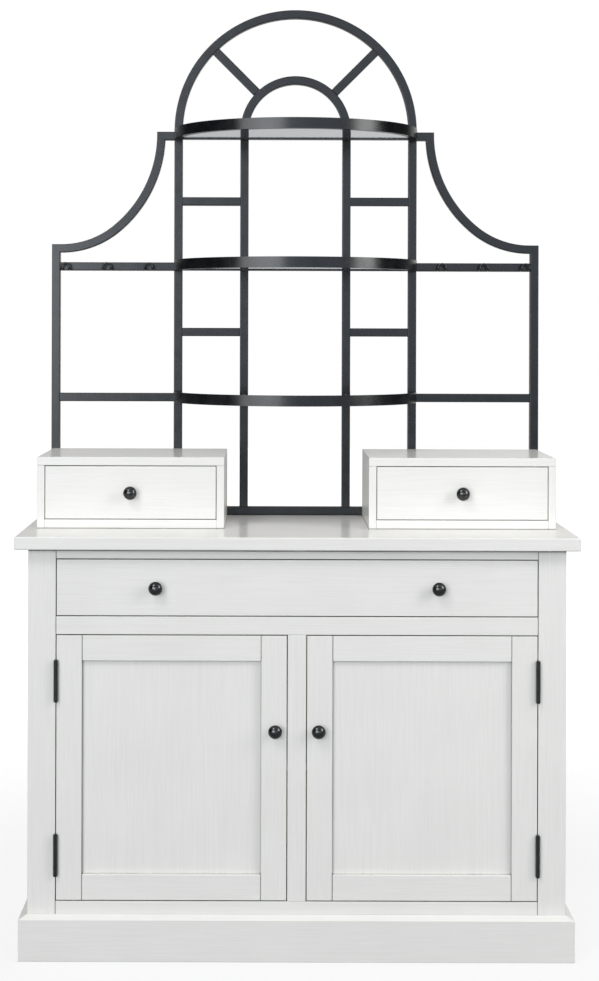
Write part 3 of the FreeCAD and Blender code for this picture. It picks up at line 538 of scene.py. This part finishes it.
# One fastener in the place of each plain one in a CAD node, along X, Y or Z
def fitFasteners(name, node, slotName, axisLetter, sizes, recess):
    mesh = bmesh.new()
    axis = "XYZ".index(axisLetter)
    for low, high in pieceBoxes(node):
        tip = (low + high) / 2
        top = tip.copy()
        tip[axis], top[axis] = low[axis], high[axis]
        if axisLetter == "X" and low.x > 0:  # the wings' bolts have their heads toward the middle
            tip.x, top.x = top.x, tip.x
        addFastener(mesh, tip, top, sizes, recess)
    placePiece(name, mesh, "rack", slotName, (node,))


def fitHingeScrews():
    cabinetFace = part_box("face_frame")[0].y
    recess = crossOutline(hingeScrew["recess"])
    meshes = {"rack": bmesh.new(), "left_door": bmesh.new(), "right_door": bmesh.new()}
    for low, high in pieceBoxes("hinge_pins"):
        middle = (low + high) / 2
        outward = math.copysign(1.0, middle.x)
        door = "left_door" if outward < 0 else "right_door"
        for body, way in (("rack", -outward), (door, outward)):
            for up, inward in hingeScrew["places"]:
                leafFace = middle.x - way * hingeScrew["leafGap"] / 2 * mm
                top = Vector((leafFace + way * hingeScrew["headHeight"] * mm, cabinetFace + inward * mm,
                              middle.z + up * mm))
                tip = top - Vector((way * hingeScrew["length"] * mm, 0.0, 0.0))
                addFastener(meshes[body], tip, top, hingeScrew, recess)
    for body, mesh in meshes.items():
        placePiece("hinge_screws_" + body, mesh, body, "dark_bronze")


hexagon = hexagonOutline(socketBolt["recess"])
fitFasteners("wing_socket_bolts", "wing_bolts", "dark_bronze", "X", socketBolt, hexagon)
fitFasteners("shelf_socket_bolts", "shelf_bolts", "dark_bronze", "Y", socketBolt, hexagon)
fitFasteners("sill_screws", "hutch_screws", "zinc_steel", "Z", sillScrew, crossOutline(sillScrew["recess"]))
fitHingeScrews()
print("bolts and screws done")

# The camera stands level at shoulder height, with a hair of roll
cameraPlace = {
    "position": (-0.0601, -3.7726, 1.3670),
    "lens": 60.53,              # mm on a 36 mm sensor along the long side
    "shift": (0.0299, -0.1656),
    "roll": 0.161,              # degrees
}


def placeCamera():
    data = bpy.data.cameras.new("camera")
    data.sensor_fit = "AUTO"
    data.sensor_width = 36.0
    data.lens = cameraPlace["lens"]
    data.shift_x, data.shift_y = cameraPlace["shift"]
    camera = bpy.data.objects.new("camera", data)
    camera.location = cameraPlace["position"]
    camera.rotation_euler = (math.radians(90), -math.radians(cameraPlace["roll"]), 0)
    bpy.context.scene.collection.objects.link(camera)
    bpy.context.scene.camera = camera


placeCamera()

# A white page all round for the camera, and a dim room with soft boxes for the light. Directions are
# unit vectors, so an edge along an axis is a share of 1.
studio = {
    "room": 0.03,                   # light from every side
    "ceiling": 0.68,                # light from straight above
    "ceilingEdge": (0.35, 0.9),     # upward: it begins at the first and is full at the second
    "pageEdge": (0.5, 0.85),        # backward: the page behind begins and is full
    "pageInGloss": (0.34, 0.76),    # how white gloss shows it, on the left and on the right
    "pageTurn": 0.3,                # sideways: all left before this, all right beyond it
    "pageInGlass": 0.6,             # how white it is through glass
    "glowColour": "#e1edfc",
    "lampAim": 1.3,                 # metres up: the point that the soft boxes face
    "floor": "#5c5c5c",
    "floorSize": 30.0,              # metres
    "floorInGloss": 0.25,
    "pageStart": (0.9, 2.6),        # metres from the rack: the floor turns into the page between these
    "pageOnFloor": 0.82,            # how far it already is the page below the rack
}
glows = {
    # light off the walls beside the camera: degrees right and up, full within and none beyond, radiance
    "wall_left": (-12.0, 6.0, 4.0, 25.0, 1.75),
    "wall_right": (24.0, 6.0, 8.0, 26.0, 1.3),
}
softBoxes = {
    # degrees right of the camera and up, metres away, width, height, radiance, colour
    "tall_left": (-28.5, 8.0, 9.0, 5.8, 4.6, 4.3, "#fafcff"),
    "tall_right": (61.0, 16.0, 3.6, 1.3, 2.2, 6.4, "#ffffff"),
    "high_left": (-38.0, 45.0, 7.0, 1.6, 1.6, 12.5, "#ffffff"),
}


# How white the page is for a ray: 1 from the camera, less through glass, 0 for light and gloss
def seenWhite(tree, path):
    through = addNode(tree, "Math", {0: path.outputs["Is Transmission Ray"], 1: studio["pageInGlass"]},
                      operation="MULTIPLY")
    return addNode(tree, "Math", {0: path.outputs["Is Camera Ray"], 1: through}, operation="MAXIMUM")


# From the rack toward a light, so many degrees right of the camera and up
def wayFrom(right, up):
    turn, lift = math.radians(right), math.radians(up)
    return Vector((math.sin(turn) * math.cos(lift), -math.cos(turn) * math.cos(lift), math.sin(lift)))


def glowFromWalls(tree, direction):
    total = 0.0
    for right, up, full, none, radiance in glows.values():
        toward = addNode(tree, "VectorMath", {0: direction, 1: wayFrom(right, up)}, operation="DOT_PRODUCT")
        edge = fromSpan(math.cos(math.radians(none)), math.cos(math.radians(full)))
        glow = addNode(tree, "MapRange", {"Value": toward, **edge, **toSpan(0.0, radiance)})
        total = addNode(tree, "Math", {0: total, 1: glow}, operation="ADD")
    return total


# The page behind the rack as gloss shows it, from one whiteness on the left to another on the right
def pageBehind(tree, axes):
    whiteness = addNode(tree, "MapRange", {"Value": axes.outputs["X"], **toSpan(*studio["pageInGloss"]),
                                           **fromSpan(-studio["pageTurn"], studio["pageTurn"])})
    edge = addNode(tree, "MapRange", {"Value": axes.outputs["Y"], **fromSpan(*studio["pageEdge"])})
    return addNode(tree, "Math", {0: edge, 1: whiteness}, operation="MULTIPLY")


def lightRoom():
    world = bpy.data.worlds.new("room")
    bpy.context.scene.world = world
    world.use_nodes = True
    tree = world.node_tree
    tree.nodes.clear()
    direction = addNode(tree, "TexCoord").outputs["Generated"]
    axes = addNode(tree, "SeparateXYZ", {0: direction})
    front = glowFromWalls(tree, direction)
    above = addNode(tree, "MapRange", {"Value": axes.outputs["Z"], **fromSpan(*studio["ceilingEdge"]),
                                       **toSpan(0.0, studio["ceiling"])})
    level = studio["room"]
    for part in (front, above, pageBehind(tree, axes)):
        level = addNode(tree, "Math", {0: level, 1: part}, operation="ADD")
    page = seenWhite(tree, addNode(tree, "LightPath"))
    unseen = addNode(tree, "Math", {0: page, 1: 0.0, 2: 0.5}, operation="COMPARE")  # 1 for light and gloss
    strength = addNode(tree, "Mix", {"Factor": unseen, "A": page, "B": level}, data_type="FLOAT")
    glowShare = addNode(tree, "Math", {0: front, 1: unseen}, operation="MULTIPLY")
    tinge = addNode(tree, "Math", {0: glowShare, 1: 1.0}, operation="MINIMUM")
    colour = addNode(tree, "Mix", {"Factor": tinge, "A": white, "B": linear(studio["glowColour"])},
                     data_type="RGBA")
    background = addNode(tree, "Background", {"Color": colour, "Strength": strength})
    addNode(tree, "OutputWorld", {"Surface": background})


def hangSoftBox(name, right, up, distance, width, height, radiance, colour):
    data = bpy.data.lights.new(name, "AREA")
    data.color = linear(colour)[:3]
    data.shape = "RECTANGLE"
    data.size, data.size_y = width, height
    data.energy = radiance * math.pi * width * height
    lamp = bpy.data.objects.new(name, data)
    way = wayFrom(right, up)
    lamp.location = Vector((0.0, 0.0, studio["lampAim"])) + way * distance
    lamp.rotation_euler = way.to_track_quat("Z", "Y").to_euler()
    lamp.visible_camera = False
    bpy.context.scene.collection.objects.link(lamp)


def paperFloor():
    finish, tree, place = newFinish("matt white paper")
    away = addNode(tree, "VectorMath", {0: place}, operation="LENGTH")
    page = addNode(tree, "MapRange", {"Value": away, **fromSpan(*studio["pageStart"]),
                                      **toSpan(studio["pageOnFloor"], 1.0)})
    path = addNode(tree, "LightPath")
    inGloss = addNode(tree, "Math", {0: path.outputs["Is Glossy Ray"], 1: studio["floorInGloss"]},
                      operation="MULTIPLY")
    shown = addNode(tree, "Math", {0: seenWhite(tree, path), 1: inGloss}, operation="MAXIMUM")
    strength = addNode(tree, "Math", {0: shown, 1: page}, operation="MULTIPLY")
    surface = addNode(tree, "BsdfPrincipled", {"Base Color": linear(studio["floor"]), "Roughness": 0.9,
                                               "Emission Color": white, "Emission Strength": strength})
    addNode(tree, "OutputMaterial", {"Surface": surface})
    return finish


def layFloor():
    half = studio["floorSize"] / 2
    corners = [(-half, -half, 0), (half, -half, 0), (half, half, 0), (-half, half, 0)]
    mesh = bpy.data.meshes.new("floor")
    mesh.from_pydata(corners, [], [(0, 1, 2, 3)])
    floor = bpy.data.objects.new("floor", mesh)
    bpy.context.scene.collection.objects.link(floor)
    floor.data.materials.append(paperFloor())


lightRoom()
for name, settings in softBoxes.items():
    hangSoftBox(name, *settings)
layFloor()
bpy.context.scene.view_settings.view_transform = "Standard"
print("studio done")
